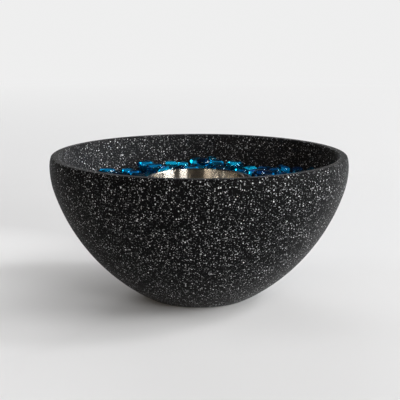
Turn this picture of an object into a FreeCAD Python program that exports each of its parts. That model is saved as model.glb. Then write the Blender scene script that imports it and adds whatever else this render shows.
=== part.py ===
import FreeCAD, Part
import math
import os
import random
import Sketcher

# Tabletop ethanol fire pit: a thick speckled bowl that carries a tray with a collar, a steel burner cup
# standing in the collar, and a bed of fire glass round it. Millimetres, +Z up. The origin is the centre
# of the surface that the foot pads stand on.

DRIVING_SIZES = {
    # Bowl, outside
    "bowl_height": 150.0,
    "bowl_radius": 152.5,
    "widest_height": 139.5,
    "shoulder_radius": 80.7,
    "shoulder_height": 114.0,
    "side_radius": 197.0,
    "base_edge_radius": 12.0,
    "lip_outer_radius": 32.0,
    "lip_crest_radius": 2.2,
    # Bowl, inside
    "lip_flat_radius": 144.4,
    "lip_inner_radius": 2.6,
    "inner_wall_radius": 92.6,
    "ledge_height": 102.8,
    "well_mouth_radius": 118.0,
    "well_side_radius": 100.0,
    "well_draft_height": 10.0,
    "well_floor_height": 20.0,
    # Underside
    "pad_radius": 6.0,
    "pad_thickness": 3.0,
    "pad_stand_off": 1.5,
    "pad_bevel": 0.5,
    "pad_pitch_radius": 39.0,
    "pad_pocket_gap": 0.3,
    "pad_count": 4.0,
    "base_recess_radius": 29.0,
    "base_recess_depth": 2.0,
    # Tray
    "bedding_thickness": 1.2,
    "bedding_inner_radius": 119.5,
    "bedding_outer_radius": 128.0,
    "tray_thickness": 8.0,
    "tray_foot_radius": 129.6,
    "tray_edge_radius": 133.2,
    "collar_height": 13.4,
    "collar_top_radius": 54.6,
    "collar_foot_radius": 57.6,
    "socket_radius": 50.8,
    "socket_depth": 56.4,
    "socket_floor": 7.0,
    "socket_wall": 6.4,
    "socket_draft": 1.4,
    "socket_corner_round": 5.0,
    "socket_root_round": 4.0,
    "socket_floor_round": 2.0,
    "collar_foot_round": 3.0,
    "collar_crown_round": 1.6,
    # Burner cup
    "cup_shift": 1.6,
    "cup_height": 58.0,
    "cup_body_radius": 46.9,
    "cup_wall": 0.8,
    "cup_corner_radius": 5.0,
    "cup_panel_radius": 34.0,
    "cup_panel_rise": 1.2,
    "curl_radius": 1.25,
    # Wick and screen
    "wick_radius": 45.6,
    "wick_height": 26.0,
    "wick_foot_round": 2.5,
    "wick_crown_round": 1.0,
    "ring_radius": 45.6,
    "ring_wall": 0.7,
    "ring_height": 4.0,
    "ring_shelf_width": 2.6,
    "screen_radius": 44.7,
    "screen_thickness": 1.0,
    "screen_pitch": 4.8,
    "screen_gap": 3.8,
    # Fire glass
    "glass_length": 21.0,
    "glass_length_spread": 2.6,
    "glass_height": 7.6,
    "glass_height_spread": 0.9,
    "glass_rest_gap": 0.02,
    "glass_bed_level": 126.5,
    "glass_sector_count": 16.0,
}

CUT_OVERRUN = 1.0
LEAST_CUT = 1.0
SAME_PLACE = 0.01

doc = FreeCAD.newDocument("tabletop_fire_pit")
sheet = doc.addObject("Spreadsheet::Sheet", "Sizes")
for row, (alias, number) in enumerate(DRIVING_SIZES.items(), start=1):
    sheet.set(f"A{row}", alias)
    sheet.set(f"B{row}", str(number))
    sheet.setAlias(f"B{row}", alias)
doc.recompute()


class Measure:
    """A length with the spreadsheet formula that gives it, so that sums keep both."""

    def __init__(self, number, formula):
        self.number = number
        self.formula = formula

    def __add__(self, other):
        return combine(self, "+", other)

    def __sub__(self, other):
        return combine(self, "-", other)


def combine(left, sign, right):
    if not isinstance(right, Measure):
        right = Measure(float(right), str(right))
    number = left.number + right.number if sign == "+" else left.number - right.number
    return Measure(number, f"({left.formula} {sign} {right.formula})")


def size(alias):
    return Measure(float(sheet.get(alias)), f"Sizes.{alias}")


ON_AXIS = Measure(0.0, "0")


# Helpers for bodies, sketches and edges

def new_body(name):
    body = doc.addObject("PartDesign::Body", name)
    body.Label = name
    return body


def origin_plane(body, role):
    for feature in body.Origin.OriginFeatures:
        if feature.Role == role:
            return feature
    raise ValueError(f"{body.Name} has no {role}")


def new_sketch(body, name, role="XZ_Plane", lift=None):
    sketch = body.newObject("Sketcher::SketchObject", name)
    sketch.AttachmentSupport = [(origin_plane(body, role), "")]
    sketch.MapMode = "FlatFace"
    if lift is not None:
        sketch.setExpression("AttachmentOffset.Base.z", lift.formula)
    return sketch


def flat(across, up):
    return FreeCAD.Vector(across, up, 0.0)


def draw_line(sketch, start, end):
    return sketch.addGeometry(Part.LineSegment(flat(*start), flat(*end)), False)


def draw_arc(sketch, centre, radius, start, end):
    circle = Part.Circle(flat(*centre), FreeCAD.Vector(0, 0, 1), radius)
    first = math.atan2(start[1] - centre[1], start[0] - centre[0])
    last = math.atan2(end[1] - centre[1], end[0] - centre[0])
    return sketch.addGeometry(Part.ArcOfCircle(circle, first, last), False)


def bind(sketch, constraint, name, measure):
    index = sketch.addConstraint(constraint)
    sketch.renameConstraint(index, name)
    sketch.setExpression(f"Constraints.{name}", measure.formula)


def hold_point(sketch, geometry, end, name, across=None, up=None):
    """Ties one end of a line or arc to its distance from the axis, its height, or both."""
    if across is ON_AXIS:
        sketch.addConstraint(Sketcher.Constraint("PointOnObject", geometry, end, -2))
    elif across is not None:
        rule = Sketcher.Constraint("DistanceX", -1, 1, geometry, end, across.number)
        bind(sketch, rule, f"{name}_across", across)
    if up is not None:
        rule = Sketcher.Constraint("DistanceY", -1, 1, geometry, end, up.number)
        bind(sketch, rule, f"{name}_up", up)


def hold_radius(sketch, arc, name, radius):
    bind(sketch, Sketcher.Constraint("Radius", arc, radius.number), name, radius)


def meet(sketch, first, first_end, second, second_end):
    sketch.addConstraint(Sketcher.Constraint("Coincident", first, first_end, second, second_end))


def run_on(sketch, first, first_end, second, second_end):
    sketch.addConstraint(Sketcher.Constraint("Tangent", first, first_end, second, second_end))


def level(sketch, line):
    sketch.addConstraint(Sketcher.Constraint("Horizontal", line))


def draw_outline(sketch, corners):
    """A closed outline of straight lines through corners of (distance from the axis, height)."""
    points = [(across.number, up.number) for across, up in corners]
    lines = []
    for index, point in enumerate(points):
        lines.append(draw_line(sketch, point, points[(index + 1) % len(points)]))
    for index, line in enumerate(lines):
        meet(sketch, line, 2, lines[(index + 1) % len(lines)], 1)
        hold_point(sketch, line, 1, f"corner_{index}", *corners[index])


def revolve(body, sketch, name, kind="PartDesign::Revolution"):
    feature = body.newObject(kind, name)
    feature.Profile = sketch
    feature.ReferenceAxis = (sketch, ["V_Axis"])
    feature.Angle = 360.0
    doc.recompute()
    return feature


def edges_at(feature, circles):
    """Names of the round edges with the given (radius, height) pairs."""
    names = []
    for index, edge in enumerate(feature.Shape.Edges, start=1):
        curve = edge.Curve
        if not isinstance(curve, Part.Circle):
            continue
        for radius, height in circles:
            is_as_wide = abs(curve.Radius - radius.number) < SAME_PLACE
            if is_as_wide and abs(curve.Center.z - height.number) < SAME_PLACE:
                names.append(f"Edge{index}")
    return names


def fillet(body, base, name, circles, radius):
    feature = body.newObject("PartDesign::Fillet", name)
    feature.Base = (base, edges_at(base, circles))
    feature.setExpression("Radius", radius.formula)
    doc.recompute()
    return feature


def must_shrink(before, after, name):
    if after.Shape.Volume > before.Shape.Volume - LEAST_CUT:
        raise ValueError(f"{name} cut nothing")


# Levels that several sub-parts share

base_level = size("pad_stand_off")
tray_underside = size("ledge_height") + size("bedding_thickness")
tray_floor = tray_underside + size("tray_thickness")
collar_top = tray_floor + size("collar_height")
socket_floor_level = collar_top - size("socket_depth")
cup_rim_level = socket_floor_level + size("cup_height")
cup_panel_top = socket_floor_level + size("cup_panel_rise") + size("cup_wall")
wick_top = cup_panel_top + size("wick_height")


# Bowl

def tangent_centre_below(outer_centre, outer_radius, inner_radius, height):
    """Centre, at a given height, of a circle that touches a larger circle from inside."""
    reach = outer_radius - inner_radius
    return (outer_centre[0] + math.sqrt(reach**2 - (outer_centre[1] - height)**2), height)


def along(centre, other, distance):
    """The point at a distance from centre on the line towards other."""
    run = math.hypot(other[0] - centre[0], other[1] - centre[1])
    return (
        centre[0] + (other[0] - centre[0]) * distance / run,
        centre[1] + (other[1] - centre[1]) * distance / run,
    )


def draw_bowl_outside(body):
    """Base, rounded base edge, long side arc, shoulder, outer lip and crest, closed on the axis."""
    sketch = new_sketch(body, "bowl_outside")
    top = size("bowl_height")
    radius = size("bowl_radius")
    widest = size("widest_height")
    shoulder = size("shoulder_radius")
    side = size("side_radius")
    edge = size("base_edge_radius")
    lip = size("lip_outer_radius")
    crest = size("lip_crest_radius")

    shoulder_centre = (radius.number - shoulder.number, widest.number)
    drop = widest.number - size("shoulder_height").number
    shoulder_start = (
        shoulder_centre[0] + math.sqrt(shoulder.number**2 - drop**2),
        size("shoulder_height").number,
    )
    side_centre = along(shoulder_start, shoulder_centre, side.number)
    edge_centre = tangent_centre_below(
        side_centre, side.number, edge.number, base_level.number + edge.number)
    side_start = along(side_centre, edge_centre, side.number)
    lip_centre = (radius.number - lip.number, widest.number)
    crest_centre = tangent_centre_below(
        lip_centre, lip.number, crest.number, top.number - crest.number)
    crest_start = along(lip_centre, crest_centre, lip.number)

    widest_point = (radius.number, widest.number)
    base_end = (edge_centre[0], base_level.number)
    crest_end = (crest_centre[0], top.number)
    base = draw_line(sketch, (0, base_level.number), base_end)
    edge_arc = draw_arc(sketch, edge_centre, edge.number, base_end, side_start)
    side_arc = draw_arc(sketch, side_centre, side.number, side_start, shoulder_start)
    shoulder_arc = draw_arc(sketch, shoulder_centre, shoulder.number, shoulder_start, widest_point)
    lip_arc = draw_arc(sketch, lip_centre, lip.number, widest_point, crest_start)
    crest_arc = draw_arc(sketch, crest_centre, crest.number, crest_start, crest_end)
    lid = draw_line(sketch, crest_end, (0, top.number))
    axis = draw_line(sketch, (0, top.number), (0, base_level.number))

    chain = [base, edge_arc, side_arc, shoulder_arc, lip_arc, crest_arc, lid]
    for first, second in zip(chain, chain[1:]):
        run_on(sketch, first, 2, second, 1)
    meet(sketch, lid, 2, axis, 1)
    meet(sketch, axis, 2, base, 1)
    level(sketch, base)
    level(sketch, lid)
    hold_point(sketch, base, 1, "base", ON_AXIS, base_level)
    hold_point(sketch, lid, 2, "top", ON_AXIS, top)
    hold_point(sketch, shoulder_arc, 2, "widest", radius, widest)
    hold_point(sketch, shoulder_arc, 1, "shoulder_start", None, size("shoulder_height"))
    hold_point(sketch, shoulder_arc, 3, "shoulder_centre", None, widest)
    hold_radius(sketch, shoulder_arc, "shoulder", shoulder)
    hold_radius(sketch, side_arc, "side", side)
    hold_radius(sketch, edge_arc, "base_edge", edge)
    hold_radius(sketch, lip_arc, "lip", lip)
    hold_radius(sketch, crest_arc, "crest", crest)
    return sketch


def draw_bowl_dish(body):
    """The dish above the ledge: a curved wall that rolls over into the flat of the lip."""
    sketch = new_sketch(body, "bowl_dish")
    top = size("bowl_height")
    ledge = size("ledge_height")
    roll = size("lip_inner_radius")
    wall = size("inner_wall_radius")
    lip_flat = size("lip_flat_radius")
    above = top + CUT_OVERRUN

    roll_centre = (lip_flat.number, top.number - roll.number)
    wall_top = (lip_flat.number - roll.number, roll_centre[1])
    wall_centre = (wall_top[0] - wall.number, wall_top[1])
    fall = wall_top[1] - ledge.number
    wall_foot = (wall_centre[0] + math.sqrt(wall.number**2 - fall**2), ledge.number)

    seat = draw_line(sketch, (0, ledge.number), wall_foot)
    wall_arc = draw_arc(sketch, wall_centre, wall.number, wall_foot, wall_top)
    roll_arc = draw_arc(sketch, roll_centre, roll.number, (lip_flat.number, top.number), wall_top)
    riser = draw_line(sketch, (lip_flat.number, top.number), (lip_flat.number, above.number))
    lid = draw_line(sketch, (lip_flat.number, above.number), (0, above.number))
    axis = draw_line(sketch, (0, above.number), (0, ledge.number))

    meet(sketch, seat, 2, wall_arc, 1)
    run_on(sketch, wall_arc, 2, roll_arc, 2)
    meet(sketch, roll_arc, 1, riser, 1)
    meet(sketch, riser, 2, lid, 1)
    meet(sketch, lid, 2, axis, 1)
    meet(sketch, axis, 2, seat, 1)
    level(sketch, seat)
    level(sketch, lid)
    sketch.addConstraint(Sketcher.Constraint("Vertical", riser))
    hold_point(sketch, seat, 1, "ledge", ON_AXIS, ledge)
    hold_point(sketch, lid, 2, "above", ON_AXIS, above)
    hold_point(sketch, riser, 1, "lip_flat", lip_flat, top)
    hold_point(sketch, roll_arc, 3, "roll_centre", lip_flat, None)
    hold_point(sketch, wall_arc, 3, "wall_centre", None, top - roll)
    hold_radius(sketch, wall_arc, "inner_wall", wall)
    hold_radius(sketch, roll_arc, "lip_inner", roll)
    return sketch


def draw_bowl_well(body):
    """The hollow under the tray. It narrows all the way down, so that the core comes out."""
    sketch = new_sketch(body, "bowl_well")
    mouth = size("well_mouth_radius")
    side = size("well_side_radius")
    floor = size("well_floor_height")
    above = size("ledge_height") + CUT_OVERRUN
    centre_height = size("ledge_height") + size("well_draft_height")

    rise = centre_height.number - above.number
    centre = (mouth.number - math.sqrt(side.number**2 - rise**2), centre_height.number)
    fall = centre_height.number - floor.number
    foot = (centre[0] + math.sqrt(side.number**2 - fall**2), floor.number)
    floor_line = draw_line(sketch, (0, floor.number), foot)
    side_arc = draw_arc(sketch, centre, side.number, foot, (mouth.number, above.number))
    lid = draw_line(sketch, (mouth.number, above.number), (0, above.number))
    axis = draw_line(sketch, (0, above.number), (0, floor.number))

    meet(sketch, floor_line, 2, side_arc, 1)
    meet(sketch, side_arc, 2, lid, 1)
    meet(sketch, lid, 2, axis, 1)
    meet(sketch, axis, 2, floor_line, 1)
    level(sketch, floor_line)
    level(sketch, lid)
    hold_point(sketch, floor_line, 1, "floor", ON_AXIS, floor)
    hold_point(sketch, lid, 2, "above", ON_AXIS, above)
    hold_point(sketch, side_arc, 2, "mouth", mouth, None)
    hold_point(sketch, side_arc, 3, "side_centre", None, centre_height)
    hold_radius(sketch, side_arc, "well_side", side)
    return sketch


def sink_circle(body, base, name, radius, depth, across=None):
    """A round pocket cut upwards into the underside of the bowl."""
    sketch = new_sketch(body, f"{name}_outline", "XY_Plane", base_level)
    offset = across.number if across is not None else 0.0
    circle = Part.Circle(flat(offset, 0), FreeCAD.Vector(0, 0, 1), radius.number)
    index = sketch.addGeometry(circle, False)
    hold_radius(sketch, index, "radius", radius)
    if across is None:
        sketch.addConstraint(Sketcher.Constraint("Coincident", index, 3, -1, 1))
    else:
        sketch.addConstraint(Sketcher.Constraint("PointOnObject", index, 3, -1))
        rule = Sketcher.Constraint("DistanceX", -1, 1, index, 3, across.number)
        bind(sketch, rule, "across", across)
    pocket = body.newObject("PartDesign::Pocket", name)
    pocket.Profile = sketch
    pocket.Reversed = True
    pocket.setExpression("Length", depth.formula)
    doc.recompute()
    must_shrink(base, pocket, name)
    return pocket


def make_bowl():
    body = new_body("bowl")
    blank = revolve(body, draw_bowl_outside(body), "bowl_blank")
    dish = revolve(body, draw_bowl_dish(body), "bowl_dish_cut", "PartDesign::Groove")
    must_shrink(blank, dish, "bowl dish")
    well = revolve(body, draw_bowl_well(body), "bowl_well_cut", "PartDesign::Groove")
    must_shrink(dish, well, "bowl well")
    recess = sink_circle(
        body, well, "base_recess", size("base_recess_radius"), size("base_recess_depth"))
    pocket = sink_circle(
        body, recess, "pad_pocket", size("pad_radius") + size("pad_pocket_gap"),
        size("pad_thickness") - base_level, size("pad_pitch_radius"))
    pattern = body.newObject("PartDesign::PolarPattern", "pad_pockets")
    pattern.Originals = [pocket]
    pattern.Axis = (origin_plane(body, "Z_Axis"), [""])
    pattern.Angle = 360.0
    pattern.setExpression("Occurrences", size("pad_count").formula)
    body.Tip = pattern
    doc.recompute()
    must_shrink(pocket, pattern, "pad pockets")
    return body


# Burner tray, with the collar and the socket for the cup

def make_tray():
    body = new_body("burner_tray")
    bore = size("socket_radius")
    bottom = socket_floor_level - size("socket_floor")
    socket_foot = bore + size("socket_wall")
    socket_root = socket_foot + size("socket_draft")
    sketch = new_sketch(body, "tray_section")
    draw_outline(sketch, [
        (ON_AXIS, bottom),
        (socket_foot, bottom),
        (socket_root, tray_underside),
        (size("tray_foot_radius"), tray_underside),
        (size("tray_edge_radius"), tray_floor),
        (size("collar_foot_radius"), tray_floor),
        (size("collar_top_radius"), collar_top),
        (bore, collar_top),
        (bore, socket_floor_level),
        (ON_AXIS, socket_floor_level),
    ])
    casting = revolve(body, sketch, "tray_casting")
    rounds = [
        ("socket_corner_round", [(socket_foot, bottom)]),
        ("socket_root_round", [(socket_root, tray_underside)]),
        ("socket_floor_round", [(bore, socket_floor_level)]),
        ("collar_foot_round", [(size("collar_foot_radius"), tray_floor)]),
        ("collar_crown_round", [(size("collar_top_radius"), collar_top), (bore, collar_top)]),
    ]
    for name, circles in rounds:
        casting = fillet(body, casting, name, circles, size(name))
    return body


def make_bedding():
    """The ring of adhesive between the tray and the ledge."""
    outer = doc.addObject("Part::Cylinder", "bedding_outer")
    inner = doc.addObject("Part::Cylinder", "bedding_inner")
    for disc, radius in ((outer, "bedding_outer_radius"), (inner, "bedding_inner_radius")):
        disc.setExpression("Radius", size(radius).formula)
        disc.setExpression("Height", size("bedding_thickness").formula)
        disc.setExpression("Placement.Base.z", size("ledge_height").formula)
    ring = doc.addObject("Part::Cut", "tray_bedding")
    ring.Label = "tray_bedding"
    ring.Base = outer
    ring.Tool = inner
    return ring


# Burner cup, wick and screen. The cup stands a little to the left in its socket.

def move_to_cup(body):
    body.setExpression("Placement.Base.x", f"-{size('cup_shift').formula}")


def make_cup():
    body = new_body("burner_cup")
    outer = size("cup_body_radius")
    floor = socket_floor_level
    rim_centre_height = cup_rim_level - size("curl_radius")
    panel = size("cup_panel_radius")
    panel_foot = panel + size("cup_panel_rise") + size("cup_panel_rise")
    sketch = new_sketch(body, "cup_section")
    draw_outline(sketch, [
        (ON_AXIS, floor + size("cup_panel_rise")),
        (panel, floor + size("cup_panel_rise")),
        (panel_foot, floor),
        (outer, floor),
        (outer, rim_centre_height),
        (ON_AXIS, rim_centre_height),
    ])
    blank = revolve(body, sketch, "cup_blank")
    drawn = fillet(body, blank, "cup_corner", [(outer, floor)], size("cup_corner_radius"))
    top_faces = []
    for index, face in enumerate(drawn.Shape.Faces, start=1):
        if abs(face.BoundBox.ZMin - rim_centre_height.number) < SAME_PLACE:
            top_faces.append(f"Face{index}")
    shell = body.newObject("PartDesign::Thickness", "cup_shell")
    shell.Base = (drawn, top_faces)
    shell.Reversed = True
    shell.Join = 0
    shell.setExpression("Value", size("cup_wall").formula)
    doc.recompute()
    must_shrink(drawn, shell, "cup shell")

    curl_sketch = new_sketch(body, "curl_section")
    curl_centre = outer - size("cup_wall") + size("curl_radius")
    circle = Part.Circle(
        flat(curl_centre.number, rim_centre_height.number), FreeCAD.Vector(0, 0, 1),
        size("curl_radius").number)
    index = curl_sketch.addGeometry(circle, False)
    hold_radius(curl_sketch, index, "curl", size("curl_radius"))
    hold_point(curl_sketch, index, 3, "curl_centre", curl_centre, rim_centre_height)
    revolve(body, curl_sketch, "rolled_rim")
    move_to_cup(body)
    return body


def make_wick():
    body = new_body("wick_pad")
    sketch = new_sketch(body, "wick_section")
    radius = size("wick_radius")
    draw_outline(sketch, [
        (ON_AXIS, cup_panel_top),
        (radius, cup_panel_top),
        (radius, wick_top),
        (ON_AXIS, wick_top),
    ])
    disc = revolve(body, sketch, "wick_disc")
    seated = fillet(body, disc, "wick_foot", [(radius, cup_panel_top)], size("wick_foot_round"))
    fillet(body, seated, "wick_crown", [(radius, wick_top)], size("wick_crown_round"))
    move_to_cup(body)
    return body


def make_screen_ring():
    """An upright hoop with a narrow shelf that the mesh lies on."""
    body = new_body("screen_ring")
    outer = size("ring_radius")
    inner = outer - size("ring_wall")
    shelf = outer - size("ring_shelf_width")
    shelf_top = wick_top + size("ring_wall")
    top = wick_top + size("ring_height")
    sketch = new_sketch(body, "ring_section")
    draw_outline(sketch, [
        (shelf, wick_top), (outer, wick_top), (outer, top),
        (inner, top), (inner, shelf_top), (shelf, shelf_top),
    ])
    revolve(body, sketch, "ring_hoop")
    move_to_cup(body)
    return body


def make_mesh_screen():
    """A round sheet with square gaps, made as one face with holes and given its thickness."""
    radius = size("screen_radius").number
    pitch = size("screen_pitch").number
    half_gap = size("screen_gap").number / 2
    clear_radius = radius - size("ring_shelf_width").number
    sheet_level = (wick_top + size("ring_wall")).number
    wires = [Part.Wire(Part.makeCircle(radius, FreeCAD.Vector(0, 0, 0)))]
    reach = int(radius / pitch) + 1
    for column in range(-reach, reach + 1):
        for line in range(-reach, reach + 1):
            x = column * pitch
            y = line * pitch
            if math.hypot(abs(x) + half_gap, abs(y) + half_gap) > clear_radius:
                continue
            corners = [
                FreeCAD.Vector(x - half_gap, y - half_gap, 0),
                FreeCAD.Vector(x + half_gap, y - half_gap, 0),
                FreeCAD.Vector(x + half_gap, y + half_gap, 0),
                FreeCAD.Vector(x - half_gap, y + half_gap, 0),
            ]
            wires.append(Part.makePolygon(corners + corners[:1]))
    face = Part.makeFace(wires, "Part::FaceMakerBullseye")
    screen = doc.addObject("Part::Feature", "mesh_screen")
    screen.Label = "mesh_screen"
    screen.Shape = face.extrude(FreeCAD.Vector(0, 0, size("screen_thickness").number))
    screen.Placement = FreeCAD.Placement(
        FreeCAD.Vector(-size("cup_shift").number, 0, sheet_level), FreeCAD.Rotation())
    return screen


# Foot pads

def make_foot_pad(number, turn):
    disc = doc.addObject("Part::Cylinder", f"pad_disc_{number}")
    disc.setExpression("Radius", size("pad_radius").formula)
    disc.setExpression("Height", size("pad_thickness").formula)
    pitch = size("pad_pitch_radius").formula
    disc.setExpression("Placement.Base.x", f"{pitch} * cos({turn} deg)")
    disc.setExpression("Placement.Base.y", f"{pitch} * sin({turn} deg)")
    doc.recompute()
    bottom_edges = []
    for index, edge in enumerate(disc.Shape.Edges, start=1):
        if edge.BoundBox.ZMax < SAME_PLACE:
            bevel = size("pad_bevel").number
            bottom_edges.append((index, bevel, bevel))
    pad = doc.addObject("Part::Chamfer", f"foot_pad_{number}")
    pad.Label = f"foot_pad_{number}"
    pad.Base = disc
    pad.Edges = bottom_edges
    return pad


# Fire glass. Pebbles are laid one by one. Each slides and rocks a little at a time towards where it
# lies lower, until no small move lowers it further, and so comes to rest on the tray, the bowl's wall,
# the collar or the pebbles already there.

PEBBLE_SIDES = 7
RING_SHARES = (0.62, 1.0, 0.58)
RING_LEVELS = (-1.0, -0.1, 1.0)
WIDTH_SHARES = (0.76, 0.94)
CORNER_REACHES = (0.475, 0.525)
CORNER_WANDER = 0.16
SMALL_MOVES = ((2.0, 0, 0, 0), (-2.0, 0, 0, 0), (0, 2.0, 0, 0), (0, -2.0, 0, 0),
               (0, 0, 9.0, 0), (0, 0, -9.0, 0), (0, 0, 0, 9.0), (0, 0, 0, -9.0))
STRIDES = (1.0, 0.4)
OUT_OF_REACH = 1000.0
UPRIGHT_NORMAL = 1e-6
PARALLEL_TURN = 1e-9
LEAST_DROP = 0.01
FURTHEST_SLIDE = 6.0
STEEPEST_TILT = 40.0
WALL_ROOM = 0.3
COLLAR_ROOM = 0.6
COLLAR_SIDES = 24
GLASS_SEED = 8
ROW_WANDER = 2.0
TURN_WANDER = 0.03
GLASS_ROWS = (
    (123.5, 37), (105.5, 31), (87.5, 26), (70.5, 20),
    (114.5, 34), (96.5, 29), (79.0, 23), (66.0, 18),
    (123.5, 34), (105.5, 30), (87.5, 25), (70.5, 18),
    (110.0, 30), (92.0, 26), (75.0, 20),
)
# Mounds and dips of the glass: the angle round the cup, the rise, and the spread in degrees
GLASS_HEAPS = (
    (83.0, 5.5, 14.0),
    (15.0, 4.5, 25.0),
    (122.0, 2.5, 9.0),
    (58.0, -4.5, 8.0),
    (133.0, -4.5, 8.0),
)


class Posed:
    """A convex solid of stacked rings of corners, in place, with what is needed to rest one on another."""

    def __init__(self, rings):
        self.rings = rings
        self.corners = [corner for ring in rings for corner in ring]
        self.top_planes = []
        self.under_planes = []
        for face in ring_faces(rings):
            plane = plane_of(face)
            if plane is not None:
                (self.top_planes if plane[0] else self.under_planes).append(plane[1:])
        self.low_edges = ring_edges(rings[:2])
        self.high_edges = ring_edges(rings[-2:])

    def top(self, x, y):
        return min(level + a * x + b * y for level, a, b in self.top_planes)

    def underside(self, x, y):
        return max(level + a * x + b * y for level, a, b in self.under_planes)

    def moved(self, x, y, z):
        return Posed([[(cx + x, cy + y, cz + z) for cx, cy, cz in ring] for ring in self.rings])


def ring_faces(rings):
    """Corner loops of the base, the crown and the slanted sides between rings."""
    faces = [rings[0][::-1], rings[-1]]
    for lower, upper in zip(rings, rings[1:]):
        for first in range(len(lower)):
            second = (first + 1) % len(lower)
            faces.append([lower[first], lower[second], upper[second], upper[first]])
    return faces


def ring_edges(rings):
    """The edges round each of two rings and between them."""
    edges = []
    for ring in rings:
        edges.extend(zip(ring, ring[1:] + ring[:1]))
    edges.extend(zip(rings[0], rings[1]))
    return edges


def plane_of(face):
    """Whether a face looks up, and its height as level + a * x + b * y, or None if it is upright."""
    start, second, third = (FreeCAD.Vector(*corner) for corner in face[:3])
    normal = (second - start).cross(third - start)
    if abs(normal.z) < UPRIGHT_NORMAL:
        return None
    a = -normal.x / normal.z
    b = -normal.y / normal.z
    return normal.z > 0, start.z - a * start.x - b * start.y, a, b


def lift_over(upper, lower):
    """How far upper has to rise to lie on lower. The last contact is at a corner or two crossed edges."""
    lift = -OUT_OF_REACH
    for x, y, z in upper.corners:
        level = lower.top(x, y)
        if level >= lower.underside(x, y):
            lift = max(lift, level - z)
    for x, y, z in lower.corners:
        level = upper.underside(x, y)
        if level <= upper.top(x, y):
            lift = max(lift, z - level)
    for (ax, ay, az), (bx, by, bz) in upper.low_edges:
        for (cx, cy, cz), (dx, dy, dz) in lower.high_edges:
            turn = (bx - ax) * (dy - cy) - (by - ay) * (dx - cx)
            if abs(turn) < PARALLEL_TURN:
                continue
            along_upper = ((cx - ax) * (dy - cy) - (cy - ay) * (dx - cx)) / turn
            if not 0 <= along_upper <= 1:
                continue
            along_lower = ((cx - ax) * (by - ay) - (cy - ay) * (bx - ax)) / turn
            if 0 <= along_lower <= 1:
                lift = max(lift, cz + along_lower * (dz - cz) - az - along_upper * (bz - az))
    return lift


def pebble_rings(dice):
    """A small flat base, a wide girdle and a small flat crown, each with the same uneven outline."""
    length = size("glass_length").number + dice.uniform(-1, 1) * size("glass_length_spread").number
    width = length * dice.uniform(*WIDTH_SHARES)
    height = size("glass_height").number + dice.uniform(-1, 1) * size("glass_height_spread").number
    outline = []
    for side in range(PEBBLE_SIDES):
        angle = 2 * math.pi * (side + dice.uniform(-CORNER_WANDER, CORNER_WANDER)) / PEBBLE_SIDES
        reach = dice.uniform(*CORNER_REACHES)
        outline.append((length * reach * math.cos(angle), width * reach * math.sin(angle)))
    rings = []
    for share, level in zip(RING_SHARES, RING_LEVELS):
        rings.append([(x * share, y * share, height / 2 * level) for x, y in outline])
    return rings


def tilted(rings, turn, tilt_x, tilt_y):
    rotation = (
        FreeCAD.Rotation(FreeCAD.Vector(1, 0, 0), tilt_x)
        * FreeCAD.Rotation(FreeCAD.Vector(0, 1, 0), tilt_y)
        * FreeCAD.Rotation(FreeCAD.Vector(0, 0, 1), turn))
    return [[tuple(rotation.multVec(FreeCAD.Vector(*corner))) for corner in ring] for ring in rings]


def wall_level(radius):
    """Height of the bowl's inner wall at a distance from the axis."""
    reach = size("inner_wall_radius").number
    centre_height = size("bowl_height").number - size("lip_inner_radius").number
    centre = size("lip_flat_radius").number - size("lip_inner_radius").number - reach
    across = radius - centre
    if across <= 0:
        return 0.0
    if across >= reach:
        return OUT_OF_REACH
    return centre_height - math.sqrt(reach**2 - across**2)


def collar_cone():
    """The collar with a little room round it, as stacked rings that a pebble can lean on."""
    foot = size("collar_foot_radius").number + size("collar_foot_round").number + COLLAR_ROOM
    top = size("collar_top_radius").number + COLLAR_ROOM
    rings = []
    for radius, height in ((foot, tray_floor.number), (top, collar_top.number + COLLAR_ROOM)):
        ring = []
        for side in range(COLLAR_SIDES):
            angle = 2 * math.pi * side / COLLAR_SIDES
            ring.append((radius * math.cos(angle), radius * math.sin(angle), height))
        rings.append(ring)
    return Posed(rings)


def heap_level(angle):
    """How high the glass may stand at an angle round the cup."""
    level = size("glass_bed_level").number
    for heap_angle, rise, spread in GLASS_HEAPS:
        offset = (math.degrees(angle) - heap_angle + 180) % 360 - 180
        level += rise * math.exp(-(offset / spread)**2)
    return level


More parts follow.
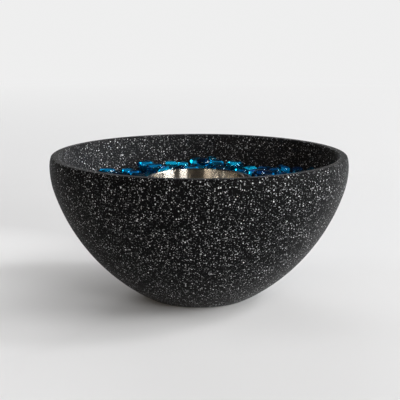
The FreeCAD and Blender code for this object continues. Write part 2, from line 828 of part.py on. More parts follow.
class GlassBed:
    """The pebbles laid so far, and the hollow that they lie in."""

    def __init__(self, seed):
        self.dice = random.Random(seed)
        self.cone = collar_cone()
        self.keep_off = size("socket_radius").number + size("collar_crown_round").number
        self.reach = size("glass_length").number + size("glass_length_spread").number
        self.pebbles = []

    def rest(self, rings, turn, pose, ceiling):
        """The pebble at a place and tilt, and the height at which it first touches something."""
        x, y, tilt_x, tilt_y = pose
        pebble = Posed(tilted(rings, turn, tilt_x, tilt_y)).moved(x, y, 0)
        level = tray_floor.number - min(corner[2] for corner in pebble.corners)
        for corner_x, corner_y, corner_z in pebble.corners:
            radius = math.hypot(corner_x, corner_y)
            if radius < self.keep_off:
                return OUT_OF_REACH, pebble
            level = max(level, wall_level(radius + WALL_ROOM) - corner_z)
        if math.hypot(x, y) < size("collar_foot_radius").number + self.reach:
            level = max(level, lift_over(pebble, self.cone))
        for other_x, other_y, other in self.pebbles:
            if level >= ceiling:
                break
            if math.hypot(other_x - x, other_y - y) < self.reach:
                level = max(level, lift_over(pebble, other))
        return level + size("glass_rest_gap").number, pebble

    def lay(self, radius, angle):
        x = radius * math.cos(angle)
        y = radius * math.sin(angle)
        rings = pebble_rings(self.dice)
        turn = self.dice.uniform(0, 360)
        pose = (x, y, 0.0, 0.0)
        level, pebble = self.rest(rings, turn, pose, OUT_OF_REACH)
        for stride in STRIDES:
            still_sinking = True
            while still_sinking:
                still_sinking = False
                for move in SMALL_MOVES:
                    trial = tuple(value + stride * step for value, step in zip(pose, move))
                    strayed = math.hypot(trial[0] - x, trial[1] - y) > FURTHEST_SLIDE
                    if strayed or max(abs(trial[2]), abs(trial[3])) > STEEPEST_TILT:
                        continue
                    trial_level, trial_pebble = self.rest(rings, turn, trial, level)
                    if trial_level < level - LEAST_DROP:
                        pose, level, pebble = trial, trial_level, trial_pebble
                        still_sinking = True
        laid = pebble.moved(0, 0, level)
        if max(corner[2] for corner in laid.corners) < heap_level(angle):
            self.pebbles.append((pose[0], pose[1], laid))

    def pour(self, rows):
        """Lays rows of (radius, count) round the cup, each pebble a little off its even place. One that
        would stand too high is left out."""
        for radius, count in rows:
            start = self.dice.uniform(0, 2 * math.pi)
            for number in range(count):
                wander = self.dice.uniform(-TURN_WANDER, TURN_WANDER)
                angle = start + 2 * math.pi * number / count + wander
                self.lay(radius + self.dice.uniform(-ROW_WANDER, ROW_WANDER), angle)


def pebble_solid(pebble):
    faces = []
    for loop in ring_faces(pebble.rings):
        points = [FreeCAD.Vector(*corner) for corner in loop]
        faces.append(Part.Face(Part.makePolygon(points + points[:1])))
    return Part.Solid(Part.Shell(faces))


def make_fire_glass():
    """The bed of glass, kept as one group of pebbles for each sector round the cup."""
    bed = GlassBed(GLASS_SEED)
    bed.pour(GLASS_ROWS)
    sector_count = int(size("glass_sector_count").number)
    sectors = [[] for sector in range(sector_count)]
    for x, y, pebble in bed.pebbles:
        share = (math.atan2(y, x) % (2 * math.pi)) / (2 * math.pi)
        sectors[int(share * sector_count)].append(pebble_solid(pebble))
    nodes = []
    for number, solids in enumerate(sectors, start=1):
        node = doc.addObject("Part::Feature", f"fire_glass_{number:02d}")
        node.Label = f"fire_glass_{number:02d}"
        node.Shape = Part.makeCompound(solids)
        node.Placement = FreeCAD.Placement()
        nodes.append(node)
    print("pebbles", len(bed.pebbles))
    return nodes


parts = [make_bowl(), make_tray(), make_bedding(), make_cup(), make_wick(), make_screen_ring(),
         make_mesh_screen()]
pad_count = int(size("pad_count").number)
for number in range(pad_count):
    parts.append(make_foot_pad(number + 1, 360.0 / pad_count * number))
parts.extend(make_fire_glass())

doc.recompute()
for item in doc.Objects:
    if "Invalid" in item.State or "Error" in item.State:
        raise ValueError(f"{item.Name} did not compute")
    if item.isDerivedFrom("Sketcher::SketchObject") and not item.FullyConstrained:
        print("free sketch:", item.Name)
os.makedirs("parts", exist_ok=True)
for part in parts:
    if part.Shape.isNull() or not part.Shape.isValid():
        raise ValueError(f"{part.Label} has no valid shape")
    part.Shape.exportStep(f"parts/{part.Label}.step")
    box = part.Shape.BoundBox
    print(f"{part.Label}: {part.Shape.Volume / 1000:.1f} cm3, z {box.ZMin:.2f} to {box.ZMax:.2f}")
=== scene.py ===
import math
import random

import bmesh
import bpy
from mathutils import Matrix, Vector, noise


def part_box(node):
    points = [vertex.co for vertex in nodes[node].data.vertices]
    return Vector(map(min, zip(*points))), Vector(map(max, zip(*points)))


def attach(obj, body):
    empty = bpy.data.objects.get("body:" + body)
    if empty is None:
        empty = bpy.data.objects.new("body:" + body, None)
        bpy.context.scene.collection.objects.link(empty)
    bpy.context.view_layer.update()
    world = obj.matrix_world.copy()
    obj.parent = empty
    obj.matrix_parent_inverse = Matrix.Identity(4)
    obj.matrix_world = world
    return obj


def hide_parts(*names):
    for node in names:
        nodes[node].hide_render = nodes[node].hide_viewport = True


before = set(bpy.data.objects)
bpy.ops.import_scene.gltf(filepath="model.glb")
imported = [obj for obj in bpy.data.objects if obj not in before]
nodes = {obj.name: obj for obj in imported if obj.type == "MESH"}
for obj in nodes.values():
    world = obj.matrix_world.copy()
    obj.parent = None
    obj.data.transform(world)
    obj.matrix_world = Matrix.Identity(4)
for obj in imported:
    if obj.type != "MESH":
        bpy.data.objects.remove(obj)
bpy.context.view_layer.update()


# Bowl
# The bowl is one thick casting of fine cement with crushed white and grey stone in it. It is ground and
# sealed matte, so that every surface shows the cut flecks in a near-black ground.

GROUND_COLOUR = (0.0018, 0.0018, 0.0020, 1.0)
CLOUD_COLOUR = (0.0033, 0.0033, 0.0036, 1.0)
CLOUD_SCALE = 26.0
CLOUD_DETAIL = 4.0
# The inner wall's lighter colour, which is painted sheen and painted light, how much of it shows where the
# clouds are darkest, and how squarely a surface looks at the axis, as a cosine, where this colour starts
# and where it is full
INSIDE_PAINTED_SHEEN_COLOUR = (0.0125, 0.0126, 0.0136, 1.0)
INSIDE_PAINTED_SHEEN_LEAST = 0.2
INSIDE_PAINTED_SHEEN_FACING = (-0.1, 0.5)
STONE_ROUGHNESS = 0.50
STONE_GLOSS = 0.02
STONE_SHEEN = 0.035
STONE_SHEEN_ROUGHNESS = 0.4
GRAIN_SCALE = 1100.0
GRAIN_DETAIL = 3.0
GRAIN_DEPTH = 0.00012
GRAIN_STRENGTH = 0.6
FLECK_COLOUR = (0.90, 0.91, 0.93, 1.0)
FLECK_HEIGHT = 0.25
FLECK_WOBBLE = 0.0005
FLECK_WOBBLE_SCALE = 1100.0
# The smallest fleck against the largest of its layer, and the share of its radius with the full colour
SMALLEST_FLECK = 0.4
FLECK_CORE = 0.7
# Size of a fleck's cell in metres, the fleck's reach in cells, the share of cells with one, the brightest
# tone, and the power that makes bright ones rare
FLECK_LAYERS = (
    (0.0011, 0.49, 0.38, 0.25, 1.6),
    (0.0017, 0.42, 0.77, 0.62, 2.0),
    (0.0027, 0.29, 0.54, 1.00, 1.3),
    (0.0074, 0.15, 0.34, 0.80, 0.8),
)


def set_inputs(tree, node, inputs):
    """Gives each input of a shader node, by name or number, its value, or links it to a socket."""
    for name, value in inputs.items():
        if isinstance(value, bpy.types.NodeSocket):
            tree.links.new(value, node.inputs[name])
        else:
            node.inputs[name].default_value = value


def place(tree, kind, inputs=None, **settings):
    """Adds a shader node with its settings and its inputs."""
    node = tree.nodes.new(kind)
    for name, setting in settings.items():
        setattr(node, name, setting)
    set_inputs(tree, node, inputs or {})
    return node


def calculate(tree, operation, first, second=0.0, third=0.0):
    return place(tree, "ShaderNodeMath", {0: first, 1: second, 2: third}, operation=operation).outputs[0]


def calculate_vector(tree, operation, first, second=(0.0, 0.0, 0.0)):
    node = place(tree, "ShaderNodeVectorMath", {0: first, 1: second}, operation=operation)
    is_number = operation in ("LENGTH", "DOT_PRODUCT")
    return node.outputs["Value" if is_number else "Vector"]


def ramp(tree, value, start, end, first=0.0, last=1.0):
    """Runs from first to last while the value runs from start to end, and stays there beyond."""
    steps = place(tree, "ShaderNodeMapRange", {
        "Value": value, "From Min": start, "From Max": end, "To Min": first, "To Max": last})
    return steps.outputs["Result"]


def mottle(tree, point, scale, detail=2.0, distortion=0.0):
    """An uneven pattern between 0 and 1, finer as the scale is larger."""
    pattern = place(tree, "ShaderNodeTexNoise", {
        "Vector": point, "Scale": scale, "Detail": detail, "Distortion": distortion})
    return pattern.outputs["Fac"]


def blend_colours(tree, share, under, over):
    """A Mix node's colours are its sockets 6 and 7, and their blend is output 2."""
    mix = place(tree, "ShaderNodeMix", {"Factor": share, 6: under, 7: over}, data_type="RGBA")
    return mix.outputs[2]


def raise_surface(tree, height, distance, strength=1.0):
    bump = place(tree, "ShaderNodeBump", {"Height": height, "Distance": distance, "Strength": strength})
    return bump.outputs["Normal"]


def new_group(name, inputs, outputs):
    """A shader node group with named sockets, and its input and output nodes."""
    group = bpy.data.node_groups.new(name, "ShaderNodeTree")
    for socket_name, kind in inputs:
        group.interface.new_socket(socket_name, in_out="INPUT", socket_type=kind)
    for socket_name, kind in outputs:
        group.interface.new_socket(socket_name, in_out="OUTPUT", socket_type=kind)
    return group, group.nodes.new("NodeGroupInput"), group.nodes.new("NodeGroupOutput")


def use_group(tree, group, inputs):
    return place(tree, "ShaderNodeGroup", inputs, node_tree=group)


def new_material(name):
    """An empty material with its output, its shader and the object's own coordinates."""
    material = bpy.data.materials.new(name)
    material.use_nodes = True
    tree = material.node_tree
    tree.nodes.clear()
    shader = place(tree, "ShaderNodeBsdfPrincipled")
    place(tree, "ShaderNodeOutputMaterial", {"Surface": shader.outputs["BSDF"]})
    point = place(tree, "ShaderNodeTexCoord").outputs["Object"]
    return material, tree, shader, point


def finish_node(name, material):
    nodes[name].data.materials.clear()
    nodes[name].data.materials.append(material)


def make_fleck_group():
    """One layer of stone flecks: where they lie, and how bright each one is."""
    group, given, result = new_group(
        "stone_flecks",
        (("Point", "NodeSocketVector"), ("Cell", "NodeSocketFloat"), ("Reach", "NodeSocketFloat"),
         ("Share", "NodeSocketFloat")),
        (("Mask", "NodeSocketFloat"), ("Tone", "NodeSocketFloat")))
    scale = calculate(group, "DIVIDE", 1.0, given.outputs["Cell"])
    cells = place(group, "ShaderNodeTexVoronoi", {"Vector": given.outputs["Point"], "Scale": scale})
    dice = place(group, "ShaderNodeSeparateColor", {"Color": cells.outputs["Color"]})
    is_there = calculate(group, "LESS_THAN", dice.outputs["Red"], given.outputs["Share"])
    size = calculate(group, "MULTIPLY_ADD", dice.outputs["Green"], 1.0 - SMALLEST_FLECK, SMALLEST_FLECK)
    reach = calculate(group, "MULTIPLY", size, given.outputs["Reach"])
    core = calculate(group, "MULTIPLY", reach, FLECK_CORE)
    disc = ramp(group, cells.outputs["Distance"], core, reach, 1.0, 0.0)
    mask = calculate(group, "MULTIPLY", disc, is_there)
    set_inputs(group, result, {"Mask": mask, "Tone": dice.outputs["Blue"]})
    return group


fleck_group = make_fleck_group()


def faces_axis(tree, point):
    """The share of a surface that looks at the bowl's axis, as its inner wall does."""
    normal = place(tree, "ShaderNodeTexCoord").outputs["Normal"]
    across = calculate_vector(tree, "MULTIPLY", point, (-1.0, -1.0, 0.0))
    inwards = calculate_vector(tree, "NORMALIZE", across)
    facing = calculate_vector(tree, "DOT_PRODUCT", normal, inwards)
    return ramp(tree, facing, *INSIDE_PAINTED_SHEEN_FACING)


def make_stone(name, ground, cloud, inside_sheen):
    """Flecked stone. Its ground is painted greyer on the inner wall, as painted sheen and painted light."""
    material, tree, shader, point = new_material(name)
    wobble = place(tree, "ShaderNodeTexNoise", {"Vector": point, "Scale": FLECK_WOBBLE_SCALE})
    centred = calculate_vector(tree, "SUBTRACT", wobble.outputs["Color"], (0.5, 0.5, 0.5))
    shift = calculate_vector(tree, "MULTIPLY", centred, (FLECK_WOBBLE, FLECK_WOBBLE, FLECK_WOBBLE))
    uneven = calculate_vector(tree, "ADD", point, shift)

    clouds = mottle(tree, point, CLOUD_SCALE, CLOUD_DETAIL)
    colour = blend_colours(tree, clouds, ground, cloud)
    # The walls that face the axis are blended towards a lighter colour: painted sheen and painted light
    painted_sheen_share = calculate(tree, "ADD", clouds, INSIDE_PAINTED_SHEEN_LEAST)
    painted_sheen_share = calculate(tree, "MULTIPLY", faces_axis(tree, point), painted_sheen_share)
    colour = blend_colours(tree, painted_sheen_share, colour, inside_sheen)
    height = mottle(tree, point, GRAIN_SCALE, GRAIN_DETAIL)
    for cell, reach, share, brightest, rarity in FLECK_LAYERS:
        layer = use_group(
            tree, fleck_group, {"Point": uneven, "Cell": cell, "Reach": reach, "Share": share})
        tone = calculate(tree, "POWER", layer.outputs["Tone"], rarity)
        brightness = calculate(tree, "MULTIPLY", tone, brightest)
        strength = calculate(tree, "MULTIPLY", layer.outputs["Mask"], brightness)
        colour = blend_colours(tree, strength, colour, FLECK_COLOUR)
        height = calculate(tree, "ADD", height, calculate(tree, "MULTIPLY", strength, FLECK_HEIGHT))
    set_inputs(tree, shader, {
        "Base Color": colour,
        "Roughness": STONE_ROUGHNESS,
        "Specular IOR Level": STONE_GLOSS,
        "Sheen Weight": STONE_SHEEN,
        "Sheen Roughness": STONE_SHEEN_ROUGHNESS,
        "Normal": raise_surface(tree, height, GRAIN_DEPTH, GRAIN_STRENGTH)})
    return material


finish_node("bowl", make_stone("bowl_stone", GROUND_COLOUR, CLOUD_COLOUR, INSIDE_PAINTED_SHEEN_COLOUR))


# Foot pads
# Four soft rubber discs are pressed into pockets in the base and stand out a little, so that the
# casting doesn't scratch a table. They are moulded, with a faint dusty bloom.

RUBBER_COLOUR = (0.018, 0.018, 0.019, 1.0)
BLOOM_COLOUR = (0.05, 0.05, 0.05, 1.0)
BLOOM_SCALE = 300.0
BLOOM_DETAIL = 4.0
RUBBER_ROUGHNESS = 0.75


def make_rubber():
    material, tree, shader, point = new_material("pad_rubber")
    bloom = mottle(tree, point, BLOOM_SCALE, BLOOM_DETAIL)
    set_inputs(tree, shader, {
        "Base Color": blend_colours(tree, bloom, RUBBER_COLOUR, BLOOM_COLOUR),
        "Roughness": RUBBER_ROUGHNESS})
    return material


rubber = make_rubber()
for name in sorted(nodes):
    if name.startswith("foot_pad_"):
        finish_node(name, rubber)


# Tray bedding
# A ring of grey adhesive holds the tray on the bowl's ledge. It is gunned on and squeezed flat when the
# tray is set down, and nothing of it shows once the tray is in.

ADHESIVE_COLOUR = (0.09, 0.09, 0.09, 1.0)
PALE_ADHESIVE_COLOUR = (0.16, 0.16, 0.155, 1.0)
ADHESIVE_ROUGHNESS = 0.5
SMEAR_SCALE = 140.0
SMEAR_DETAIL = 3.0
SMEAR_DEPTH = 0.0004


def make_adhesive():
    material, tree, shader, point = new_material("bedding_adhesive")
    smears = mottle(tree, point, SMEAR_SCALE, SMEAR_DETAIL)
    set_inputs(tree, shader, {
        "Base Color": blend_colours(tree, smears, ADHESIVE_COLOUR, PALE_ADHESIVE_COLOUR),
        "Roughness": ADHESIVE_ROUGHNESS,
        "Normal": raise_surface(tree, smears, SMEAR_DEPTH)})
    return material


finish_node("tray_bedding", make_adhesive())


# Burner tray
# The tray is cast from the same mix as the bowl, with the collar and the socket for the cup in one piece.
# It is left as it comes from the mould, so that it is a shade greyer, and the same on every side.

TRAY_GROUND_COLOUR = (0.010, 0.010, 0.0105, 1.0)
TRAY_CLOUD_COLOUR = (0.020, 0.020, 0.021, 1.0)

# The painted sheen on the tray's sides that face the axis is only its own cloud colour
tray_stone = make_stone("tray_stone", TRAY_GROUND_COLOUR, TRAY_CLOUD_COLOUR, TRAY_CLOUD_COLOUR)
finish_node("burner_tray", tray_stone)


# Burner cup
# The cup is drawn from stainless sheet and spun to size, with its rim rolled outwards. The spinning
# leaves fine rings round the axis, which draw reflections out into upright bands.

STEEL_COLOUR = (0.70, 0.655, 0.585, 1.0)
WORN_STEEL_COLOUR = (0.61, 0.565, 0.50, 1.0)
SPUN_FINENESS = 2600.0
SMUDGE_SCALE = 60.0
# How much of the wear comes from smudges. The spun rings give the rest
SMUDGE_SHARE = 0.6
CUP_ROUGHNESS = 0.25
# How far the rings draw reflections out, up to 1, and the quarter turn that draws them across the rings
CUP_BRUSHING = 1.0
BAND_TURN = 0.25


def centre_and_size(name):
    low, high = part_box(name)
    return (low + high) / 2, high - low


cup_axis = centre_and_size("burner_cup")[0]


def make_spun_group():
    """Fine rings round the Z axis, as a spinning lathe leaves them."""
    group, given, result = new_group(
        "spun_rings",
        (("Point", "NodeSocketVector"), ("Fineness", "NodeSocketFloat")),
        (("Rings", "NodeSocketFloat"),))
    parts = place(group, "ShaderNodeSeparateXYZ", {"Vector": given.outputs["Point"]})
    flat = place(group, "ShaderNodeCombineXYZ", {"X": parts.outputs["X"], "Y": parts.outputs["Y"]})
    radius = calculate_vector(group, "LENGTH", flat.outputs["Vector"])
    section = place(group, "ShaderNodeCombineXYZ", {"X": radius, "Y": parts.outputs["Z"]})
    rings = mottle(group, section.outputs["Vector"], given.outputs["Fineness"])
    set_inputs(group, result, {"Rings": rings})
    return group


spun_group = make_spun_group()


def make_steel(name, roughness, brushing):
    """Stainless steel, spun or rolled round the cup's axis."""
    material, tree, shader, point = new_material(name)
    centring = place(tree, "ShaderNodeMapping", {"Vector": point, "Location": (-cup_axis.x, 0.0, 0.0)})
    centred = centring.outputs["Vector"]
    spun = use_group(tree, spun_group, {"Point": centred, "Fineness": SPUN_FINENESS})
    rings = calculate(tree, "MULTIPLY", spun.outputs["Rings"], 1.0 - SMUDGE_SHARE)
    smudges = mottle(tree, point, SMUDGE_SCALE)
    wear = calculate(tree, "MULTIPLY_ADD", smudges, SMUDGE_SHARE, rings)
    set_inputs(tree, shader, {
        "Base Color": blend_colours(tree, wear, STEEL_COLOUR, WORN_STEEL_COLOUR),
        "Metallic": 1.0,
        "Roughness": roughness,
        "Anisotropic": brushing,
        "Anisotropic Rotation": BAND_TURN,
        "Tangent": calculate_vector(tree, "CROSS_PRODUCT", (0.0, 0.0, 1.0), centred)})
    return material


finish_node("burner_cup", make_steel("cup_steel", CUP_ROUGHNESS, CUP_BRUSHING))


# Wick pad
# A disc of white ceramic wool fills the bottom of the cup and holds the fuel. It is cut from blanket and
# pressed in by hand, so that its faces are a little crowned and its fibres stand up.

MERGE_DISTANCE = 1e-6
WICK_SIDES = 64
WICK_RINGS = 9
WICK_ROUND = 0.0022
WICK_ROUND_STEPS = 3
WICK_CROWN = 0.0006
# Lumps of the cut blanket: how closely they follow, their height, and how far they swell the disc
# sideways, as a share of its radius for each metre of height
LUMP_SCALE = 160.0
LUMP_HEIGHT = 0.0003
LUMP_SWELL = 8
# The white wool is painted mid and dark grey: painted shade for the shaded inside of the cup
SHADED_WOOL_COLOUR = (0.46, 0.44, 0.40, 1.0)
SHADED_WOOL_DARK_COLOUR = (0.24, 0.225, 0.20, 1.0)
WOOL_ROUGHNESS = 0.95
WOOL_PALENESS = 1.6
FIBRE_SCALE = 420.0
FIBRE_DETAIL = 6.0
FIBRE_TWIST = 2.5
FIBRE_DEPTH = 0.0009
PATCH_SCALE = 90.0
PATCH_DETAIL = 3.0


def make_wool():
    material, tree, shader, point = new_material("wick_fibre")
    fibres = mottle(tree, point, FIBRE_SCALE, FIBRE_DETAIL, FIBRE_TWIST)
    patches = mottle(tree, point, PATCH_SCALE, PATCH_DETAIL)
    paleness = calculate(tree, "MULTIPLY", calculate(tree, "MULTIPLY", fibres, patches), WOOL_PALENESS)
    set_inputs(tree, shader, {
        # Both wool colours carry painted shade
        "Base Color": blend_colours(tree, paleness, SHADED_WOOL_DARK_COLOUR, SHADED_WOOL_COLOUR),
        "Roughness": WOOL_ROUGHNESS,
        "Normal": raise_surface(tree, fibres, FIBRE_DEPTH)})
    return material


def keep_mesh(shape, name, material, body):
    """Turns a finished bmesh into a smooth-shaded piece that rides on a body."""
    mesh = bpy.data.meshes.new(name)
    shape.to_mesh(mesh)
    shape.free()
    mesh.materials.append(material)
    mesh.shade_smooth()
    piece = bpy.data.objects.new(name, mesh)
    bpy.context.scene.collection.objects.link(piece)
    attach(piece, body)
    return piece


def make_wick():
    """Half of the pad's outline, from the top's middle to the bottom's, spun round and made uneven."""
    centre, size = centre_and_size("wick_pad")
    radius = size.x / 2
    half_height = size.z / 2
    outline = [(0.0, half_height + WICK_CROWN)]
    for ring in range(1, WICK_RINGS):
        share = ring / WICK_RINGS
        outline.append((share * (radius - WICK_ROUND), half_height + WICK_CROWN * (1 - share**2)))
    for step in range(WICK_ROUND_STEPS, -1, -1):
        angle = math.radians(90 / WICK_ROUND_STEPS * step)
        outline.append((
            radius - WICK_ROUND + WICK_ROUND * math.cos(angle),
            half_height - WICK_ROUND + WICK_ROUND * math.sin(angle)))
    outline += [(across, -up) for across, up in reversed(outline[1:])]
    outline.append((0.0, -half_height))
    shape = bmesh.new()
    corners = [shape.verts.new((across, 0.0, up)) for across, up in outline]
    edges = [shape.edges.new(pair) for pair in zip(corners, corners[1:])]
    bmesh.ops.spin(
        shape, geom=corners + edges, cent=(0, 0, 0), axis=(0, 0, 1), angle=math.tau,
        steps=WICK_SIDES, use_merge=True, use_duplicate=False)
    bmesh.ops.remove_doubles(shape, verts=shape.verts, dist=MERGE_DISTANCE)
    bmesh.ops.recalc_face_normals(shape, faces=shape.faces)
    for vert in shape.verts:
        lump = noise.noise(vert.co * LUMP_SCALE) * LUMP_HEIGHT
        vert.co.z += lump
        vert.co.x *= 1 + lump * LUMP_SWELL
        vert.co.y *= 1 + lump * LUMP_SWELL
    bmesh.ops.translate(shape, verts=shape.verts, vec=centre)
    return keep_mesh(shape, "wick_wool", make_wool(), "cup_body")


wick = make_wick()
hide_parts("wick_pad")


# Mesh screen and its ring
# A disc of woven stainless wire lies on the wool and keeps it down. Its cut ends rest in a thin hoop
# that is rolled from strip, and both lift out of the cup together.

WIRE_PITCH = 0.0018
WIRE_RADIUS = 0.00032
WIRE_SIDES = 6
# How far a wire's middle is from the screen's at a crossing, in its own radii
WIRE_WAVE = 0.9
WIRE_ROUGHNESS = 0.3
WIRE_BRUSHING = 0.0
HOOP_ROUGHNESS = 0.28
HOOP_BRUSHING = 0.8


def bend_wire(half_length, line):
    """One wire along X, in its own bmesh, that goes over and under the wires across it."""
    wire = bmesh.new()
    ring = bmesh.ops.create_circle(wire, segments=WIRE_SIDES, radius=WIRE_RADIUS, cap_ends=False)["verts"]
    bmesh.ops.rotate(wire, verts=ring, cent=(0, 0, 0), matrix=Matrix.Rotation(math.radians(90), 3, "Y"))
    bmesh.ops.translate(wire, verts=ring, vec=(-half_length, 0.0, 0.0))
    edges = list(wire.edges)
    crossings = int(half_length / WIRE_PITCH)
    stations = [step * WIRE_PITCH for step in range(-crossings, crossings + 1)] + [half_length]
    along = -half_length
    level = 0.0
    for step, station in enumerate(stations):
        made = bmesh.ops.extrude_edge_only(wire, edges=edges)["geom"]
        ring = [item for item in made if isinstance(item, bmesh.types.BMVert)]
        edges = [item for item in made if isinstance(item, bmesh.types.BMEdge)]
        is_over = (step - crossings + line) % 2 == 0
        next_level = WIRE_RADIUS * (WIRE_WAVE if is_over else -WIRE_WAVE)
        if station == half_length:
            next_level = 0.0
        bmesh.ops.translate(wire, verts=ring, vec=(station - along, 0.0, next_level - level))
        along = station
        level = next_level
    bmesh.ops.holes_fill(wire, edges=[edge for edge in wire.edges if edge.is_boundary], sides=WIRE_SIDES)
    return wire


def make_woven_screen():
    """Plain weave: two layers of wires at right angles, each the other's opposite at every crossing."""
    centre, size = centre_and_size("mesh_screen")
    reach = size.x / 2 - WIRE_RADIUS
    count = int(reach / WIRE_PITCH)
    shape = bmesh.new()
    strand = bpy.data.meshes.new("strand")
    for direction in (0, 1):
        quarter_turn = Matrix.Rotation(math.radians(90) * direction, 3, "Z")
        for line in range(-count, count + 1):
            side = line * WIRE_PITCH
            wire = bend_wire(math.sqrt(reach**2 - side**2), line + direction)
            bmesh.ops.translate(wire, verts=wire.verts, vec=(0.0, side, 0.0))
            bmesh.ops.rotate(wire, verts=wire.verts, cent=(0, 0, 0), matrix=quarter_turn)
            wire.to_mesh(strand)
            wire.free()
            shape.from_mesh(strand)
    bpy.data.meshes.remove(strand)
    bmesh.ops.recalc_face_normals(shape, faces=shape.faces)
    bmesh.ops.translate(shape, verts=shape.verts, vec=(centre.x, centre.y, centre.z + WIRE_RADIUS / 2))
    wire_steel = make_steel("wire_steel", WIRE_ROUGHNESS, WIRE_BRUSHING)
    return keep_mesh(shape, "woven_screen", wire_steel, "screen_body")


screen = make_woven_screen()
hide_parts("mesh_screen")
finish_node("screen_ring", make_steel("ring_steel", HOOP_ROUGHNESS, HOOP_BRUSHING))


# Fire glass
# The pebbles are broken from thick blue sheet glass and tumbled until their edges are round. They are
# poured loose on the tray, deepest behind the cup.

# The pebbles are swelled before their corners are rounded, since the rounding shrinks them
PEBBLE_SWELL = 1.14
PEBBLE_ROUNDING = 1
# Facets that differ by less than this many degrees are one flat
FLAT_ANGLE = 1.5
PEBBLE_SEED = 11
DEEP_GLASS_COLOUR = (0.0, 0.085, 0.25, 1.0)
PALE_GLASS_COLOUR = (0.003, 0.38, 0.61, 1.0)
GLASS_PALENESS = 1.9
GLASS_CLARITY = 0.97
GLASS_ROUGHNESS = 0.02
GLASS_IOR = 1.5
STREAK_SCALE = 60.0
RIPPLE_SCALE = 90.0
RIPPLE_DEPTH = 0.0005
GLASS_DETAIL = 1.0


def make_glass():
    """Clear blue glass. Every pebble has a tone of its own, and streaks and ripples run through all."""
    material, tree, shader, point = new_material("pebble_glass")
    tone = place(tree, "ShaderNodeAttribute", attribute_name="tone")
    streaks = mottle(tree, point, STREAK_SCALE, GLASS_DETAIL)
    share = calculate(tree, "MULTIPLY", tone.outputs["Fac"], streaks)
    paleness = calculate(tree, "MULTIPLY", share, GLASS_PALENESS)
    ripples = mottle(tree, point, RIPPLE_SCALE, GLASS_DETAIL)
    set_inputs(tree, shader, {
        "Base Color": blend_colours(tree, paleness, DEEP_GLASS_COLOUR, PALE_GLASS_COLOUR),
        "Roughness": GLASS_ROUGHNESS,
        "IOR": GLASS_IOR,
        "Transmission Weight": GLASS_CLARITY,
        "Normal": raise_surface(tree, ripples, RIPPLE_DEPTH)})
    return material


def islands_of(shape):
    """The separate pebbles of a bmesh, each as a list of its vertices."""
    islands = []
    seen = set()
    for start in shape.verts:
        if start in seen:
            continue
        island = [start]
        seen.add(start)
        for vert in island:
            for edge in vert.link_edges:
                other = edge.other_vert(vert)
                if other not in seen:
                    seen.add(other)
                    island.append(other)
        islands.append(island)
    return islands


def make_pebbles(name, material, dice):
    """The same pebbles as the node's, with their flats joined and their corners tumbled round."""
    shape = bmesh.new()
    shape.from_mesh(nodes[name].data)
    bmesh.ops.remove_doubles(shape, verts=shape.verts, dist=MERGE_DISTANCE)
    bmesh.ops.dissolve_limit(
        shape, angle_limit=math.radians(FLAT_ANGLE), verts=shape.verts, edges=shape.edges)
    tone = shape.verts.layers.float.new("tone")
    for island in islands_of(shape):
        middle = sum((vert.co for vert in island), Vector()) / len(island)
        pebble_tone = dice.random()
        for vert in island:
            vert.co = middle + (vert.co - middle) * PEBBLE_SWELL
            vert[tone] = pebble_tone
    piece = keep_mesh(shape, name.replace("fire_glass", "glass_pebbles"), material, "bowl_body")
    rounding = piece.modifiers.new("tumbled", "SUBSURF")
    rounding.levels = PEBBLE_ROUNDING
    rounding.render_levels = PEBBLE_ROUNDING
    return piece


glass = make_glass()
pebble_dice = random.Random(PEBBLE_SEED)
for name in sorted(nodes):
    if name.startswith("fire_glass_"):
        pebbles = make_pebbles(name, glass, pebble_dice)
        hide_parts(name)


# Floor
# The floor is one sheet of pale paper that runs out of sight. Near the bowl it is lit and keeps the shadow.
# Far off it only glows, and only for the camera, the steel and the glass, so that the stone gets no light
# from it.

FLOOR_REACH = 40.0
FLOOR_SIDES = 64
FLOOR_COLOUR = (0.715, 0.715, 0.72, 1.0)
FLOOR_ROUGHNESS = 0.9
BLACK = (0.0, 0.0, 0.0, 1.0)
# How strongly the paper glows at growing distances from the bowl's axis
PAPER_GLOW = ((0.10, 0.0), (0.20, 0.04), (0.7, 0.03), (2.4, 0.86))
# The distances between which the glow takes the place of the paper's own colour
GLOW_ALONE = (0.7, 2.4)
# An oval glow for the camera alone, which thins out the long shadow on the bowl's left. It is even up to a
# share of its reach and has faded out at its full reach
SIDE_GLOW = 0.30
SIDE_GLOW_CENTRE = Vector((-0.33, 0.04, 0.0))
SIDE_GLOW_REACH = Vector((0.26, 0.32, 1.0))
SIDE_GLOW_EVEN = 0.3


def ray_kinds(tree):
    """Whether a ray comes from the camera, from a gloss or through glass."""
    rays = place(tree, "ShaderNodeLightPath")
    return [rays.outputs[name] for name in ("Is Camera Ray", "Is Glossy Ray", "Is Transmission Ray")]


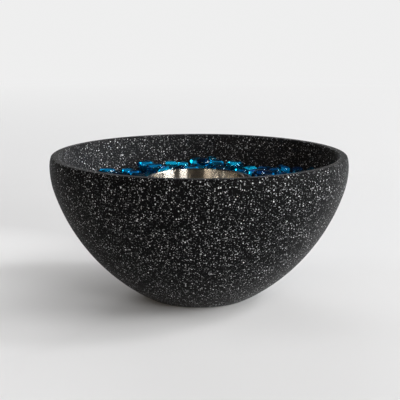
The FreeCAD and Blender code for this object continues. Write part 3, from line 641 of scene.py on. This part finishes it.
def make_paper():
    """Paper that is lit near the bowl and gives way to a glow further out."""
    material, tree, shader, point = new_material("floor_paper")
    distance = calculate_vector(tree, "LENGTH", point)
    fade = ramp(tree, distance, *GLOW_ALONE)
    set_inputs(tree, shader, {
        "Base Color": blend_colours(tree, fade, FLOOR_COLOUR, BLACK),
        "Roughness": FLOOR_ROUGHNESS,
        "Specular IOR Level": 0.0})
    glow_level = 0.0
    for (near, dim), (far, bright) in zip(PAPER_GLOW, PAPER_GLOW[1:]):
        glow_level = calculate(tree, "ADD", glow_level, ramp(tree, distance, near, far, 0.0, bright - dim))
    beside = calculate_vector(tree, "SUBTRACT", point, SIDE_GLOW_CENTRE)
    in_reaches = calculate_vector(tree, "DIVIDE", beside, SIDE_GLOW_REACH)
    side_distance = calculate_vector(tree, "LENGTH", in_reaches)
    side_level = ramp(tree, side_distance, SIDE_GLOW_EVEN, 1.0, SIDE_GLOW, 0.0)
    by_camera, mirrored, through_glass = ray_kinds(tree)
    is_seen = calculate(tree, "MAXIMUM", by_camera, calculate(tree, "MAXIMUM", mirrored, through_glass))
    seen_glow = calculate(tree, "MULTIPLY", glow_level, is_seen)
    strength = calculate(tree, "ADD", seen_glow, calculate(tree, "MULTIPLY", side_level, by_camera))
    glow = place(tree, "ShaderNodeEmission", {"Strength": strength})
    both = place(tree, "ShaderNodeAddShader", {0: shader.outputs["BSDF"], 1: glow.outputs["Emission"]})
    output = next(node for node in tree.nodes if node.type == "OUTPUT_MATERIAL")
    set_inputs(tree, output, {"Surface": both.outputs["Shader"]})
    return material


def make_floor():
    shape = bmesh.new()
    bmesh.ops.create_circle(shape, cap_ends=True, segments=FLOOR_SIDES, radius=FLOOR_REACH)
    mesh = bpy.data.meshes.new("floor")
    shape.to_mesh(mesh)
    shape.free()
    mesh.materials.append(make_paper())
    floor = bpy.data.objects.new("floor", mesh)
    bpy.context.scene.collection.objects.link(floor)
    return floor


make_floor()


# Windows and room
# Low windows on the right and a weak warm lamp at the left front make the bright bars in the steel. Broad
# lamps that nothing mirrors give the stone its soft light. The walls that the steel mirrors are pale behind
# the bowl and dim on the camera's side.

LAMP_DISTANCE = 6.0
LAMP_AIM = Vector((0.0, 0.0, 0.12))
ROOM_COLOUR = (0.86, 0.86, 0.87, 1.0)
ROOM_LIGHT = 0.03
PALE_SIDE = Vector((0.35, 0.94, 0.0))
# The pale wall ends between these heights, as sines of the angle above the floor
PALE_TOP = (0.10, 0.35)


def add_softbox(name, azimuth, elevation, width, height, power, colour=(1.0, 1.0, 1.0), is_mirrored=True):
    """A softbox aimed at the bowl. Azimuth is in degrees from the camera's side towards the right."""
    lamp = bpy.data.lights.new(name, "AREA")
    lamp.shape = "RECTANGLE"
    lamp.size = width
    lamp.size_y = height
    lamp.energy = power
    lamp.color = colour
    softbox = bpy.data.objects.new(name, lamp)
    softbox.visible_camera = False
    softbox.visible_glossy = is_mirrored
    turn = math.radians(azimuth)
    rise = math.radians(elevation)
    away = Vector((math.sin(turn) * math.cos(rise), -math.cos(turn) * math.cos(rise), math.sin(rise)))
    softbox.location = LAMP_AIM + away * LAMP_DISTANCE
    softbox.rotation_euler = away.to_track_quat("Z", "Y").to_euler()
    bpy.context.scene.collection.objects.link(softbox)


add_softbox("near_window", 38, 12, 1.8, 2.2, 184.0)
add_softbox("side_window", 84, 12, 3.6, 2.2, 448.0)
add_softbox("back_window", 120, 12, 2.4, 2.2, 104.0)
add_softbox("warm_fill", -27, 12, 1.8, 2.2, 64.0, colour=(1.0, 0.86, 0.70))
add_softbox("high_window", 96, 42, 1.2, 1.0, 90.0)
add_softbox("right_light", 86, 30, 2.8, 2.4, 66.0, is_mirrored=False)
add_softbox("front_light", 50, 48, 3.2, 2.4, 64.0, is_mirrored=False)
add_softbox("rear_light", -168, 26, 3.6, 2.6, 120.0, is_mirrored=False)
add_softbox("left_light", -92, 40, 2.8, 2.4, 44.0, is_mirrored=False)


def light_room():
    """Walls as pale as the floor to the camera and through glass, but mirrored low behind the bowl only."""
    world = bpy.data.worlds.new("room")
    world.use_nodes = True
    tree = world.node_tree
    tree.nodes.clear()
    direction = place(tree, "ShaderNodeTexCoord").outputs["Generated"]
    towards = calculate_vector(tree, "DOT_PRODUCT", direction, PALE_SIDE.normalized())
    height = place(tree, "ShaderNodeSeparateXYZ", {"Vector": direction}).outputs["Z"]
    low = ramp(tree, height, *PALE_TOP, 1.0, 0.0)
    pale = ramp(tree, towards, 0.0, 1.0, 0.0, low)
    by_camera, mirrored, through_glass = ray_kinds(tree)
    whole = calculate(tree, "MAXIMUM", by_camera, through_glass)
    share = calculate(tree, "MAXIMUM", whole, calculate(tree, "MULTIPLY", pale, mirrored))
    strength = calculate(tree, "MAXIMUM", share, ROOM_LIGHT)
    room = place(tree, "ShaderNodeBackground", {"Color": ROOM_COLOUR, "Strength": strength})
    place(tree, "ShaderNodeOutputWorld", {"Surface": room.outputs["Background"]})
    bpy.context.scene.world = world


light_room()


# Camera
# The camera stands a long step in front of the bowl, with a long lens, and looks down over the near rim
# at the angle of the photograph.

CAMERA_DISTANCE = 1.2
CAMERA_PITCH = math.radians(11.11)
CAMERA_TARGET = Vector((0.0009, 0.0, 0.1017))
CAMERA_LENS = 104.6


def set_camera():
    camera = bpy.data.objects.new("camera", bpy.data.cameras.new("camera"))
    camera.data.lens = CAMERA_LENS
    back = Vector((0.0, -math.cos(CAMERA_PITCH), math.sin(CAMERA_PITCH)))
    camera.location = CAMERA_TARGET + back * CAMERA_DISTANCE
    camera.rotation_euler = (math.radians(90) - CAMERA_PITCH, 0.0, 0.0)
    bpy.context.scene.collection.objects.link(camera)
    bpy.context.scene.camera = camera


set_camera()
bpy.context.scene.view_settings.view_transform = "Standard"
